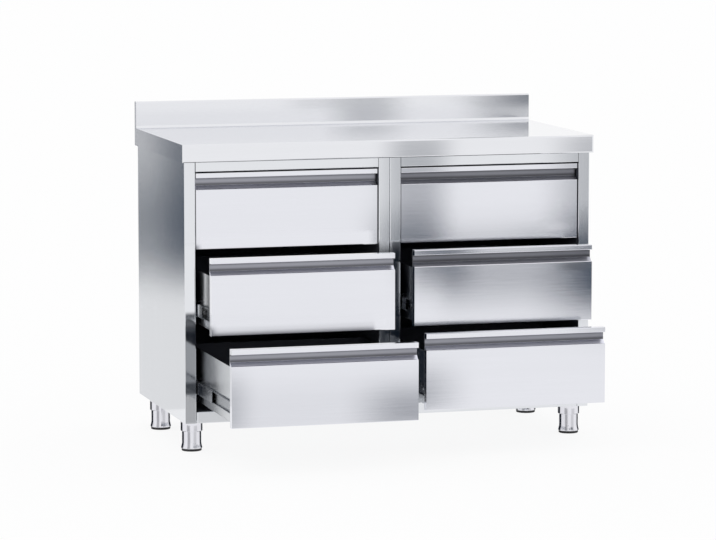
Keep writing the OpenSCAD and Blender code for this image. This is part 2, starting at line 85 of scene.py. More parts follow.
# Where a skin isn't meant to fade out at its top, it still does so over this height
SHARP = 0.02 * MM
# Bands of painted shade down a grip's inside, darkest just under the lip and above the fold: how far below
# the lip each begins, the height over which it fades in, and how bright it is. The last begins at the fold
# above the sloping ledge and is painted lighter, as a lit ledge would be.
GRIP_PAINTED_BANDS = ((-0.5 * MM, SHARP, 0.34), (4 * MM, 5 * MM, 0.62), (14 * MM, 5 * MM, 0.25),
              (21 * MM, SHARP, 1.5))
GRIP_END = 32 * MM
# Two grips look into the darker side of the studio, and more painted shade in their colour takes this share
# of their brightness
GRIP_SHADE = {"top_right": 0.28, "middle_right": 0.3}

# Noise keeps to the middle of its range, so what lies between these is drawn out over the whole of it
NOISE_LOW = 0.3
NOISE_HIGH = 0.7
# The belt's scratches: how far the roughness goes up and down with them, and how deep they are.
# They catch only a little light, so their bump is weak.
SCRATCH_SPREAD = 0.02
SCRATCH_DEPTH = 0.1 * MM
SCRATCH_STRENGTH = 0.05
# A broader grain lies under them, so many times as long and as wide
BROAD_LENGTH = 8
BROAD_WIDTH = 12
# The share by which the roughness of a clouded surface goes up and down
CLOUD_SPREAD = 0.12
CLOUD_STRENGTH = 0.5
# A lathe's rings are about 0.1 mm apart, which is too fine to show, so they are drawn this far apart
RING_PITCH = 0.8 * MM
RING_LENGTH = 60 * MM
# The shares of a tube's roughness that its smoothest and roughest rings have, and of its brightness
# that the darkest have
RING_SMOOTH = 0.7
RING_ROUGH = 1.4
RING_SHADE = 0.96
# Length of a chip of wood in the board, and the share of brightness that the darkest have
CHIP = 7 * MM
CHIP_SHADE = 0.7


def linear(code):
    """The linear colour of an sRGB hex value such as #E6E7ED."""
    channels = [int(code[i:i + 2], 16) / 255 for i in (1, 3, 5)]
    return [c / 12.92 if c <= 0.04045 else ((c + 0.055) / 1.055) ** 2.4 for c in channels]


def shade(colour, share=1.0):
    """The colour made darker to a share of itself, with a full alpha as sockets hold it."""
    return (*[c * share for c in colour[:3]], 1.0)


def add(tree, kind, inputs=None, **settings):
    """Adds a node: settings are its own, and each input takes a value or another node's socket."""
    node = tree.nodes.new(kind)
    for name, value in settings.items():
        setattr(node, name, value)
    for key, value in (inputs or {}).items():
        if isinstance(value, bpy.types.NodeSocket):
            tree.links.new(value, node.inputs[key])
        else:
            node.inputs[key].default_value = value
    return node


def new_material(name):
    """An empty material and its node tree."""
    material = bpy.data.materials.new(name)
    material.use_nodes = True
    material.node_tree.nodes.clear()
    return material, material.node_tree


def finish_surface(tree, shader):
    """Connects a shader to the material's surface."""
    add(tree, "ShaderNodeOutputMaterial", {"Surface": shader.outputs[0]})


def dress(material, *nodes):
    """Gives CAD nodes a material."""
    for name in nodes:
        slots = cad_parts[name].data.materials
        slots.clear()
        slots.append(material)


# Patterns

def grain_pattern(tree, place, grain, length, width):
    """Noise drawn out along the grain: length and width are one streak's, in metres."""
    scale = [1 / length if g else 1 / width for g in grain]
    stretched = add(tree, "ShaderNodeVectorMath", {0: place, 1: scale}, operation="MULTIPLY")
    noise = add(tree, "ShaderNodeTexNoise",
                {"Vector": stretched.outputs[0], "Scale": 1.0, "Detail": 3.0, "Roughness": 0.65})
    wide = add(tree, "ShaderNodeMapRange",
               {"Value": noise.outputs["Fac"], "From Min": NOISE_LOW, "From Max": NOISE_HIGH})
    return wide.outputs[0]


def inside_mask(tree, place, low, high, fade):
    """1 within a box whose corners are given in metres, and 0 outside it. Its top fades out over
    the height of the fade."""
    axes = add(tree, "ShaderNodeSeparateXYZ", {0: place}).outputs
    share = add(tree, "ShaderNodeMapRange",
                {"Value": axes[2], "From Min": high[2] + fade / 2, "From Max": high[2] - fade / 2})
    share = share.outputs[0]
    limits = [(axis, least, "GREATER_THAN") for axis, least in zip(axes, low)]
    limits += [(axis, most, "LESS_THAN") for axis, most in zip(axes[:2], high)]
    for axis, limit, side in limits:
        within = add(tree, "ShaderNodeMath", {0: axis, 1: limit}, operation=side).outputs[0]
        share = add(tree, "ShaderNodeMath", {0: share, 1: within}, operation="MULTIPLY").outputs[0]
    return share


# A mix node's input 0 is the share of its second value, 2 and 3 are numbers, and 6 and 7 colours
def with_skins(tree, place, colour, rough, metal, skins):
    """Colour, roughness and metallic with other skins laid over them. Each skin is a box's low and
    high corner, its fade and what it has there: colour, roughness and metallic."""
    for low, high, fade, other, dull, metallic in skins:
        share = inside_mask(tree, place, low, high, fade)
        colour = add(tree, "ShaderNodeMix", {0: share, 6: colour, 7: other}, data_type="RGBA").outputs[2]
        rough = add(tree, "ShaderNodeMix", {0: share, 2: rough, 3: dull}).outputs[0]
        if metallic != metal:
            metal = add(tree, "ShaderNodeMix", {0: share, 2: metal, 3: metallic}).outputs[0]
    return colour, rough, metal


# Finishes

def brushed_steel(name, tone, grain, look, skins=()):
    """Satin brushed stainless sheet. The belt's fine scratches spread a reflection across
    themselves, which gives soft bands along the grain."""
    material, tree = new_material(name)
    place = add(tree, "ShaderNodeTexCoord").outputs["Object"]
    fine = grain_pattern(tree, place, grain, look.grain_length, look.grain_width)
    broad = grain_pattern(tree, place, grain, BROAD_LENGTH * look.grain_length,
                          BROAD_WIDTH * look.grain_width)
    scratched = add(tree, "ShaderNodeMix",
                    {0: fine, 6: shade(tone, 1 - look.grain_contrast), 7: shade(tone)}, data_type="RGBA")
    clouded = add(tree, "ShaderNodeMix",
                  {0: broad, 6: scratched.outputs[2], 7: shade(tone, 1 - look.grain_contrast)},
                  data_type="RGBA")
    rough = add(tree, "ShaderNodeMapRange",
                {"Value": fine, "To Min": look.roughness - SCRATCH_SPREAD,
                 "To Max": look.roughness + SCRATCH_SPREAD})
    colour, rough, metal = with_skins(tree, place, clouded.outputs[2], rough.outputs[0], 1.0, skins)
    bump = add(tree, "ShaderNodeBump",
               {"Height": fine, "Strength": SCRATCH_STRENGTH, "Distance": SCRATCH_DEPTH})
    # The tangent runs along the grain, a little off its axis, so that it holds on faces square to it
    along = add(tree, "ShaderNodeCombineXYZ", {i: max(g, 0.01 * (i + 1)) for i, g in enumerate(grain)})
    # A quarter turn from the tangent, the reflection is drawn out across the grain
    steel = add(tree, "ShaderNodeBsdfPrincipled",
                {"Base Color": colour, "Metallic": metal, "Roughness": rough,
                 "Specular IOR Level": PAINTED_SHADE_GLOSS,
                 "Anisotropic": look.anisotropy, "Anisotropic Rotation": 0.25,
                 "Tangent": along.outputs[0], "Normal": bump.outputs[0]})
    finish_surface(tree, steel)
    return material


def clouded_finish(name, tone, roughness, cloud, metallic=1.0, least=0.93, height=0.0, gloss=0.5,
                   skins=()):
    """A surface with clouds of one size and no grain: rolled sheet, zinc, rubber or the dark painted shade
    of the liners. Least is how bright its darkest clouds are, and height how far they stand up, if they do."""
    material, tree = new_material(name)
    place = add(tree, "ShaderNodeTexCoord").outputs["Object"]
    noise = add(tree, "ShaderNodeTexNoise", {"Vector": place, "Scale": 1 / cloud, "Detail": 4.0})
    clouds = add(tree, "ShaderNodeMapRange",
                 {"Value": noise.outputs["Fac"], "From Min": NOISE_LOW, "From Max": NOISE_HIGH})
    clouds = clouds.outputs[0]
    colour = add(tree, "ShaderNodeMix", {0: clouds, 6: shade(tone, least), 7: shade(tone)},
                 data_type="RGBA")
    rough = add(tree, "ShaderNodeMapRange",
                {"Value": clouds, "To Min": roughness * (1 - CLOUD_SPREAD),
                 "To Max": roughness * (1 + CLOUD_SPREAD)})
    colour, rough, metal = with_skins(tree, place, colour.outputs[2], rough.outputs[0], metallic, skins)
    inputs = {"Base Color": colour, "Metallic": metal, "Roughness": rough, "Specular IOR Level": gloss}
    if height:
        bump = add(tree, "ShaderNodeBump",
                   {"Height": clouds, "Strength": CLOUD_STRENGTH, "Distance": height})
        inputs["Normal"] = bump.outputs[0]
    finish_surface(tree, add(tree, "ShaderNodeBsdfPrincipled", inputs))
    return material


def polished_steel(look):
    """Turned and polished stainless tube: nearly a mirror, with faint rings from the lathe."""
    material, tree = new_material("polished_stainless_tube")
    place = add(tree, "ShaderNodeTexCoord").outputs["Object"]
    rings = grain_pattern(tree, place, (1, 1, 0), RING_LENGTH, RING_PITCH)
    rough = add(tree, "ShaderNodeMapRange",
                {"Value": rings, "To Min": look.leg_roughness * RING_SMOOTH,
                 "To Max": look.leg_roughness * RING_ROUGH})
    colour = add(tree, "ShaderNodeMix", {0: rings, 6: shade(look.leg, RING_SHADE), 7: shade(look.leg)},
                 data_type="RGBA")
    steel = add(tree, "ShaderNodeBsdfPrincipled",
                {"Base Color": colour.outputs[2], "Metallic": 1.0, "Roughness": rough.outputs[0]})
    finish_surface(tree, steel)
    return material


def chipboard(look):
    """Bare chipboard: pressed wood chips a few millimetres long."""
    material, tree = new_material("pressed_chipboard")
    place = add(tree, "ShaderNodeTexCoord").outputs["Object"]
    chips = add(tree, "ShaderNodeTexVoronoi", {"Vector": place, "Scale": 1 / CHIP})
    tint = add(tree, "ShaderNodeSeparateColor", {0: chips.outputs["Color"]})
    colour = add(tree, "ShaderNodeMix",
                 {0: tint.outputs[0], 6: shade(look.board, CHIP_SHADE), 7: shade(look.board)},
                 data_type="RGBA")
    board = add(tree, "ShaderNodeBsdfPrincipled", {"Base Color": colour.outputs[2], "Roughness": 0.8})
    finish_surface(tree, board)
    return material


# Sizes and colours that a user would change

class CabinetLook(bpy.types.PropertyGroup):
    """Colours and grain of the cabinet's finishes."""

    worktop: bpy.props.FloatVectorProperty(
        name="Worktop", description="Brushed steel of the worktop", subtype="COLOR",
        default=linear("#EAEBEF"), min=0, max=1)
    body: bpy.props.FloatVectorProperty(
        name="Body", description="Brushed steel of the body", subtype="COLOR",
        default=linear("#E4E6EA"), min=0, max=1)
    front: bpy.props.FloatVectorProperty(
        name="Drawer fronts", description="Brushed steel of the drawer fronts", subtype="COLOR",
        default=linear("#E8E9EF"), min=0, max=1)
    # The grips' colour is painted shade, darker than the fronts for the shade under the lip; only their
    # duller roughness is the steel's own
    grip_painted_shade: bpy.props.FloatVectorProperty(
        name="Grips", description="Duller steel inside the grips", subtype="COLOR",
        default=linear("#C0C1CB"), min=0, max=1)
    box: bpy.props.FloatVectorProperty(
        name="Drawer boxes", description="Mill finish sheet of the drawer boxes", subtype="COLOR",
        default=linear("#D3D6DA"), min=0, max=1)
    plain: bpy.props.FloatVectorProperty(
        name="Hidden sheets", description="Mill finish sheet of the base and the profiles",
        subtype="COLOR", default=linear("#CBCED3"), min=0, max=1)
    # This dark colour is painted shade inside the body and the drawer boxes, standing in for the shade there
    coat: bpy.props.FloatVectorProperty(
        name="Inside coat", description="Sound-deadening coat inside the body", subtype="COLOR",
        default=linear("#44464E"), min=0, max=1)
    runner: bpy.props.FloatVectorProperty(
        name="Runners", description="Zinc plate of the runners", subtype="COLOR",
        default=linear("#A2A6AC"), min=0, max=1)
    leg: bpy.props.FloatVectorProperty(
        name="Legs", description="Polished steel of the legs", subtype="COLOR",
        default=linear("#E8E8EE"), min=0, max=1)
    leg_roughness: bpy.props.FloatProperty(
        name="Leg roughness", description="Roughness of the polished legs", subtype="FACTOR",
        default=0.16, min=0, max=1)
    screw: bpy.props.FloatVectorProperty(
        name="Screws", description="Stainless steel of the screws", subtype="COLOR",
        default=linear("#BDBFC4"), min=0, max=1)
    rubber: bpy.props.FloatVectorProperty(
        name="Pads", description="Rubber of the pads", subtype="COLOR",
        default=linear("#1B1B1E"), min=0, max=1)
    board: bpy.props.FloatVectorProperty(
        name="Board", description="Chipboard under the worktop", subtype="COLOR",
        default=linear("#B89A72"), min=0, max=1)
    roughness: bpy.props.FloatProperty(
        name="Roughness", description="Roughness of the brushed steel", subtype="FACTOR",
        default=0.11, min=0, max=1)
    anisotropy: bpy.props.FloatProperty(
        name="Anisotropy", description="How much the grain draws a reflection out", subtype="FACTOR",
        default=0.5, min=0, max=1)
    grain_length: bpy.props.FloatProperty(
        name="Grain length", description="Length of one scratch of the belt", subtype="DISTANCE",
        default=120 * MM, min=1 * MM, max=1)
    # A real scratch is about 0.1 mm wide, which is too fine to show, so it is drawn 2.5 mm wide
    grain_width: bpy.props.FloatProperty(
        name="Grain width", description="Width of one scratch, drawn coarse enough to show",
        subtype="DISTANCE", default=2.5 * MM, min=0.05 * MM, max=0.1)
    grain_contrast: bpy.props.FloatProperty(
        name="Grain contrast", description="How much darker the scratches are", subtype="FACTOR",
        default=0.03, min=0, max=1)


class CabinetStage(bpy.types.PropertyGroup):
    """Camera and surroundings."""

    # The camera was worked out from the straight edges in the photograph
    camera_place: bpy.props.FloatVectorProperty(
        name="Camera", description="Place of the camera", subtype="TRANSLATION", unit="LENGTH",
        default=(-2.8994, -10.0604, 1.7314))
    camera_turn: bpy.props.FloatProperty(
        name="Turn", description="Turn of the camera to the right", subtype="ANGLE",
        default=math.radians(16.018))
    camera_tilt: bpy.props.FloatProperty(
        name="Tilt", description="Tilt of the camera downwards", subtype="ANGLE",
        default=math.radians(6.9))
    camera_lens: bpy.props.FloatProperty(
        name="Lens", description="Focal length on a 36 mm sensor", unit="CAMERA", default=183.8)
    floor_size: bpy.props.FloatProperty(
        name="Floor", description="Half the floor's width", subtype="DISTANCE", default=90)
    floor: bpy.props.FloatVectorProperty(
        name="Floor colour", description="Paint of the studio floor", subtype="COLOR",
        default=linear("#F6F6F7"), min=0, max=1)
    card: bpy.props.FloatVectorProperty(
        name="Cards", description="Blue-grey paper of the cards that the metal reflects", subtype="COLOR",
        default=linear("#002742"), min=0, max=1)
    flag: bpy.props.FloatVectorProperty(
        name="Flags", description="Black cloth of the flags close to the cabinet", subtype="COLOR",
        default=linear("#101822"), min=0, max=1)
    shadow_share: bpy.props.FloatProperty(
        name="Shadow", description="Share of the floor's brightness that the shadow can take",
        subtype="FACTOR", default=0.12, min=0, max=1)


class CABINET_OT_worktop(bpy.types.Operator):
    """Dress the worktop, its board and the profiles under it"""

    bl_idname = "cabinet.worktop"
    bl_label = "Worktop"

    def execute(self, context):
        look = context.scene.cabinet_look
        dress(brushed_steel("brushed_stainless_worktop", look.worktop, (1, 0, 0), look), "worktop")
        dress(chipboard(look), "worktop_core")
        # Cold rolled sheet as it leaves the mill: dull, with faint clouds and no grain to speak of
        dress(clouded_finish("cold_rolled_profiles", look.plain, roughness=0.38, cloud=60 * MM),
              "worktop_stiffeners", "base_channels")
        return {"FINISHED"}


class CABINET_OT_body(bpy.types.Operator):
    """Dress the body's panels, rails and pillar"""

    bl_idname = "cabinet.body"
    bl_label = "Body"

    def execute(self, context):
        look = context.scene.cabinet_look
        # Every face within the body's walls is painted dark and matte: painted shade for the shade inside
        # the body
        low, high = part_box("side_panel_left")
        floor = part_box("bottom_panel")[1].z
        painted_shade_skins = [((low.x + SIDE_BARE, low.y + FRONT_BARE, floor - SIDE_BARE),
                   (-low.x - SIDE_BARE, high.y - BACK_BARE, high.z),
                   SHARP, shade(look.coat), PAINTED_SHADE_ROUGHNESS, 0.0)]
        upright = brushed_steel("brushed_stainless_body", look.body, (0, 0, 1), look, painted_shade_skins)
        level = brushed_steel("brushed_stainless_rails", look.body, (1, 0, 0), look, painted_shade_skins)
        dress(upright, "side_panel_left", "side_panel_right", "centre_divider_left",
              "centre_divider_right", "back_panel")
        dress(level, "top_rails", "bottom_panel")
        # The liners get the same dark painted shade all over, with pebbles of about 4 mm and hardly any
        # sheen
        coat = clouded_finish("painted_shade_liners", look.coat, roughness=PAINTED_SHADE_ROUGHNESS, cloud=4 * MM,
                              metallic=0.0, least=0.7, height=0.3 * MM, gloss=PAINTED_SHADE_GLOSS)
        dress(coat, "side_liner_left", "side_liner_right")
        return {"FINISHED"}


class CABINET_OT_fronts(bpy.types.Operator):
    """Dress the six drawer fronts"""

    bl_idname = "cabinet.fronts"
    bl_label = "Drawer fronts"

    def execute(self, context):
        look = context.scene.cabinet_look
        for key in DRAWERS:
            node = f"drawer_front_{key}"
            low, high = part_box(node)
            # No belt reaches into a grip or behind the front, so the skin there stays duller. The grip's
            # colour is also painted shade, in bands that are darkest under the lip and above the fold, with
            # the sloping ledge painted lighter.
            lip = high.z - LIP_HEIGHT
            deep = low.y + GRIP_START
            behind = low.y + BACK_START
            tone = shade(look.grip_painted_shade, 1 - GRIP_SHADE.get(key, 0))
            skins = [((-1, deep, lip - GRIP_END), (1, behind, lip - begins), fade,
                      shade(tone, share), GRIP_ROUGHNESS, 1.0) for begins, fade, share in GRIP_PAINTED_BANDS]
            skins.append(((-1, behind, low.z), (1, high.y + MM, high.z), SHARP,
                          shade(look.box), BACK_ROUGHNESS, 1.0))
            dress(brushed_steel(f"brushed_stainless_front_{key}", look.front, (1, 0, 0), look, skins), node)
        return {"FINISHED"}


class CABINET_OT_boxes(bpy.types.Operator):
    """Dress the six drawer boxes"""

    bl_idname = "cabinet.boxes"
    bl_label = "Drawer boxes"

    def execute(self, context):
        look = context.scene.cabinet_look
        # Cold rolled sheet again, a little brighter from handling. The inside, up to the walls' top edges,
        # has the same dark painted shade as the body.
        for key in DRAWERS:
            node = f"drawer_box_{key}"
            low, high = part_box(node)
            painted_shade_skins = [(low + WALL_BARE * (X + Y + Z), high - WALL_BARE * (X + Y) - EDGE_BARE * Z,
                       SHARP, shade(look.coat), PAINTED_SHADE_ROUGHNESS, 0.0)]
            dress(clouded_finish(f"cold_rolled_box_{key}", look.box, roughness=0.22, cloud=60 * MM,
                                 gloss=PAINTED_SHADE_GLOSS, skins=painted_shade_skins), node)
        return {"FINISHED"}


class CABINET_OT_runners(bpy.types.Operator):
    """Dress the telescopic ball runners"""

    bl_idname = "cabinet.runners"
    bl_label = "Runners"

    def execute(self, context):
        look = context.scene.cabinet_look
        # Bright zinc plate: smoother than the sheets, with small clouds
        zinc = clouded_finish("bright_zinc_plate", look.runner, roughness=0.26, cloud=15 * MM)
        for kind in ("cabinet_runners", "telescope_runners", "drawer_runners"):
            dress(zinc, *[f"{kind}_{key}" for key in DRAWERS])
        return {"FINISHED"}


class CABINET_OT_legs(bpy.types.Operator):
    """Dress the legs' sleeves, feet and pads"""

    bl_idname = "cabinet.legs"
    bl_label = "Legs"

    def execute(self, context):
        look = context.scene.cabinet_look
        dress(polished_steel(look), "leg_sleeves", *[f"foot_{key}" for key in LEGS])
        # Moulded rubber: matte black, a little greyer where it has rubbed
        dress(clouded_finish("moulded_rubber", look.rubber, roughness=0.6, cloud=6 * MM, metallic=0.0,
                             least=0.7), *[f"pad_{key}" for key in LEGS])
        return {"FINISHED"}


# A pan head screw in millimetres: the radius and height of each ring of its shank and head, from
# the shank's end up, and the top of its head
SCREW_RINGS = ((2.0, -3.0), (2.0, 0), (3.8, 0), (3.8, 0.9), (3.62, 1.25), (3.1, 1.6), (2.3, 1.86),
               (1.3, 1.97))
SCREW_TOP = 2.0
SCREW_SIDES = 32
# What cuts the cross in its head: the height, half the span and half the width of each arm at the
# cutter's bottom and at its top, which is above the head
CROSS_RINGS = ((0.8, 0.7, 0.225), (3.0, 3.15, 0.54))
# The turn from one screw's cross to the next one's, in radians
CROSS_TURN = 2.4


def cross_cutter():
    """A cross that narrows downwards, as a driver's tip does."""
    mesh = bmesh.new()
    for turn in (0, 1):
        rings = []
        for level, span, width in CROSS_RINGS:
            corners = ((-span, -width), (span, -width), (span, width), (-span, width))
            rings.append([mesh.verts.new(Vector(((x, y), (-y, x))[turn] + (level,)) * MM)
                          for x, y in corners])
        low, high = rings
        mesh.faces.new(reversed(low))
        mesh.faces.new(high)
        for i in range(4):
            j = (i + 1) % 4
            mesh.faces.new((low[i], low[j], high[j], high[i]))
    return mesh


def object_from(name, built):
    """An object with the mesh that was built."""
    mesh = bpy.data.meshes.new(name)
    built.normal_update()
    built.to_mesh(mesh)
    built.free()
    thing = bpy.data.objects.new(name, mesh)
    bpy.context.scene.collection.objects.link(thing)
    return thing


def screw_mesh():
    """One screw with its head's seat at the origin and its top along Z."""
    body = bmesh.new()
    turns = [math.tau * i / SCREW_SIDES for i in range(SCREW_SIDES)]
    rings = [[body.verts.new(Vector((radius * math.cos(turn), radius * math.sin(turn), level)) * MM)
              for turn in turns] for radius, level in SCREW_RINGS]
    top = body.verts.new((0, 0, SCREW_TOP * MM))
    for i in range(SCREW_SIDES):
        j = (i + 1) % SCREW_SIDES
        for low, high in zip(rings, rings[1:]):
            body.faces.new((low[i], low[j], high[j], high[i]))
        body.faces.new((rings[-1][i], rings[-1][j], top))
    body.faces.new(reversed(rings[0]))
    screw = object_from("screw_form", body)
    cutter = object_from("cross_form", cross_cutter())
    cut = screw.modifiers.new("cross", "BOOLEAN")
    cut.operation = "DIFFERENCE"
    # The cutter's two arms run through each other
    cut.use_self = True
    cut.object = cutter
    made = bpy.data.meshes.new_from_object(screw.evaluated_get(bpy.context.evaluated_depsgraph_get()))
    for form in (screw, cutter):
        bpy.data.objects.remove(form)
    return made


def solids_of(node):
    """The lowest and highest corner of each solid of a CAD node."""
    mesh = bmesh.new()
    mesh.from_mesh(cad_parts[node].data)
    bmesh.ops.remove_doubles(mesh, verts=mesh.verts, dist=0.01 * MM)
    waiting = set(mesh.verts)
    while waiting:
        reached = [waiting.pop()]
        for vert in reached:
            for edge in vert.link_edges:
                other = edge.other_vert(vert)
                if other in waiting:
                    waiting.remove(other)
                    reached.append(other)
        yield tuple(Vector([pick(v.co[axis] for v in reached) for axis in range(3)]) for pick in (min, max))
    mesh.free()


def set_screws(node, body, middle, screw, material):
    """Sets a detailed screw where each plain one of a CAD node is, with its head away from the middle.
    No two crosses stop at the same angle."""
    made = bmesh.new()
    for count, (low, high) in enumerate(sorted(solids_of(node), key=lambda box: box[0][:])):
        size = high - low
        # A plain screw is shorter than its head is wide, so its axis is its shortest side
        axis = min(range(3), key=lambda i: size[i])
        seat = (low + high) / 2
        sign = 1 if seat[axis] > middle[axis] else -1
        out = Vector([sign * float(i == axis) for i in range(3)])
        seat += out * (size[axis] / 2 - SCREW_TOP * MM)
        turn = out.to_track_quat("Z", "Y").to_matrix().to_4x4() @ Matrix.Rotation(CROSS_TURN * count, 4, "Z")
        placed = screw.copy()
        placed.transform(Matrix.Translation(seat) @ turn)
        made.from_mesh(placed)
        bpy.data.meshes.remove(placed)
    piece = object_from(f"pan_{node}", made)
    piece.data.shade_smooth()
    piece.data.set_sharp_from_angle(angle=math.radians(30))
    piece.data.materials.append(material)
    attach(piece, body)
    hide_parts(node)


class CABINET_OT_screws(bpy.types.Operator):
    """Set the screws with their driven crosses"""

    bl_idname = "cabinet.screws"
    bl_label = "Screws"

    def execute(self, context):
        look = context.scene.cabinet_look
        # Headed and rolled stainless wire: plain, with a slight scale
        steel = clouded_finish("headed_stainless_screws", look.screw, roughness=0.3, cloud=2 * MM)
        dress(steel, "leg_screws")
        screw = screw_mesh()
        set_screws("back_panel_screws", "root", Vector(), screw, steel)
        for key in DRAWERS:
            middle = sum(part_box(f"drawer_box_{key}"), Vector()) / 2
            set_screws(f"drawer_screws_{key}", f"drawer_{key}", middle, screw, steel)
        bpy.data.meshes.remove(screw)
        return {"FINISHED"}


# Studio

def plane(name, centre, across, up):
    """A rectangle round a centre, which runs from -1 to 1 along its half width and half height."""
    mesh = bpy.data.meshes.new(name)
    mesh.from_pydata([(-1, -1, 0), (1, -1, 0), (1, 1, 0), (-1, 1, 0)], [], [(0, 1, 2, 3)])
    thing = bpy.data.objects.new(name, mesh)
    bpy.context.scene.collection.objects.link(thing)
    axes = Matrix((across, up, across.cross(up))).transposed()
    thing.matrix_world = Matrix.Translation(centre) @ axes.to_4x4()
    return thing


def studio_floor(stage):
    """A pale painted floor that looks white to the camera and in the metal, and keeps a soft shadow."""
    material, tree = new_material("painted_floor")
    paint = add(tree, "ShaderNodeBsdfDiffuse", {"Color": shade(stage.floor)})
    glow = add(tree, "ShaderNodeEmission", {"Strength": 1.0})
    soft = add(tree, "ShaderNodeMixShader",
               {0: stage.shadow_share, 1: glow.outputs[0], 2: paint.outputs[0]})
    path = add(tree, "ShaderNodeLightPath").outputs
    seen = path["Is Camera Ray"]
    for ray in ("Is Glossy Ray", "Is Transmission Ray"):
        seen = add(tree, "ShaderNodeMath", {0: seen, 1: path[ray]}, operation="MAXIMUM").outputs[0]
    both = add(tree, "ShaderNodeMixShader", {0: seen, 1: paint.outputs[0], 2: soft.outputs[0]})
    finish_surface(tree, both)
    material.cycles.emission_sampling = "NONE"
    floor = plane("studio_floor", Vector(), stage.floor_size * X, stage.floor_size * Y)
    floor.data.materials.append(material)


def studio_world():
    """An even white room."""
    world = bpy.data.worlds.new("studio_world")
    world.use_nodes = True
    tree = world.node_tree
    tree.nodes.clear()
    white = add(tree, "ShaderNodeBackground", {"Color": (1, 1, 1, 1), "Strength": 1.0})
    add(tree, "ShaderNodeOutputWorld", {"Surface": white.outputs[0]})
    bpy.context.scene.world = world


def studio_camera(stage):
    """The photograph's view."""
    data = bpy.data.cameras.new("studio_camera")
    data.lens = stage.camera_lens
    # Far enough to take in the floor's edge
    data.clip_end = 500
    camera = bpy.data.objects.new("studio_camera", data)
    bpy.context.scene.collection.objects.link(camera)
    camera.location = stage.camera_place
    camera.rotation_euler = (math.pi / 2 - stage.camera_tilt, 0, -stage.camera_turn)
    bpy.context.scene.camera = camera


# Cards stand out of the picture, as round any polished thing that is photographed, and the metal
# shows them as soft bands. Each has a place, half its width and height, the shares of these over
# which its sides and its top and bottom fade out, and how much it hides. First the dark ones, which
# stand in front of the drawers, before the upstand and beside the left panel.
CARDS = {
    "card_right_tall": ((0.385, -1.30, 0.57), (0.15, 0.29), (0.8, 0.38), 0.45),
    "card_right_foot": ((0.365, -1.31, 0.46), (0.19, 0.15), (1.0, 1.0), 0.60),
    "card_middle": ((0.71, -1.34, 0.38), (0.35, 0.16), (0.25, 0.94), 0.48),
    "card_end_tall": ((1.03, -1.32, 0.54), (0.25, 0.28), (0.72, 0.22), 0.42),
    "card_end_waist": ((1.10, -1.35, 0.45), (0.30, 0.11), (0.85, 0.46), 0.45),
    "card_end_foot": ((1.05, -1.33, 0.345), (0.40, 0.19), (0.76, 1.0), 1.0),
    "card_low": ((0.19, -1.35, 0.03), (0.27, 0.14), (0.8, 0.8), 0.51),
    "card_low_wide": ((-0.10, -1.355, 0.05), (0.45, 0.16), (0.4, 0.9), 0.10),
    "card_low_left": ((-0.44, -1.36, 0.08), (0.14, 0.14), (0.8, 0.8), 0.40),
    "card_splash_band": ((0.26, -0.28, 0.91), (0.17, 0.05), (0.9, 0.1), 0.35),
    "card_splash_end": ((0.86, -0.28, 0.91), (0.34, 0.05), (0.9, 0.1), 0.78),
    "card_side_wide": ((-2.1, 0.50, 0.60), (1.49, 1.0), (0.02, 0.1), 0.15),
    "card_side_tall": ((-1.5, 0.51, 0.905), (0.89, 0.595), (0.03, 0.32), 0.40),
    "card_side_waist": ((-1.5, 0.52, 0.57), (0.89, 0.24), (0.03, 1.0), 0.42),
    "card_side_front": ((-1.33, 0.53, 0.89), (0.67, 0.61), (0.21, 0.38), 0.635),
}
# Black flags stand close to the cabinet, where its foremost steel mirrors them
FLAGS = {
    "flag_pillar": ((0.0, -0.30, 0.35), (0.036, 0.235), (0.2, 0.2), 0.8),
    "flag_stile": ((-0.58, -0.30, 0.22), (0.025, 0.145), (0.1, 0.1), 0.5),
    "flag_stile_lower": ((-0.58, -0.301, 0.182), (0.025, 0.024), (0.1, 0.6), 0.75),
    "flag_middle_right": ((0.51, -0.43, 0.505), (0.08, 0.025), (1.0, 1.0), 0.42),
    "flag_rail": ((-0.46, -0.303, 0.10), (0.098, 0.02), (0.12, 0.1), 0.22),
}
# White cards do the opposite: they keep what stands in front of a face out of its reflection
WHITES = {
    "white_stile": ((-0.581, -0.302, 0.49), (0.026, 0.105), (0.05, 0.15), 1.0),
    "white_top_left": ((-0.296, -0.30, 0.588), (0.262, 0.024), (0.1, 0.4), 1.0),
    "white_top_right": ((0.50, -0.30, 0.60), (0.08, 0.03), (1.0, 1.0), 0.35),
    "white_middle_left": ((-0.296, -0.475, 0.371), (0.262, 0.024), (0.1, 0.8), 0.8),
}
# Upright strips: one beside the middle left drawer box, and four round each leg, which give its
# polished tube dark bands. Each has its two ends as seen from above (a leg's from the leg's middle),
# where its bottom and top are, its fades and how much it hides.
BOX_FLAG = ((-0.5605, -0.43), (-0.5605, -0.288), (0.36, 0.53), (0.3, 0.3), 0.78)
LEG_FLAGS = {
    "left": ((-0.0388, -0.008), (-0.036, 0.031), (0, 0.080), (0.3, 0.05), 1.0),
    "right": ((0.0325, -0.022), (0.046, 0.011), (0, 0.080), (0.3, 0.05), 1.0),
    "front_left": ((-0.057, -0.039), (-0.022, -0.055), (0, 0.070), (0.5, 0.05), 0.5),
    "front_right": ((0.0, -0.056), (0.030, -0.045), (0, 0.070), (0.5, 0.05), 0.25),
}


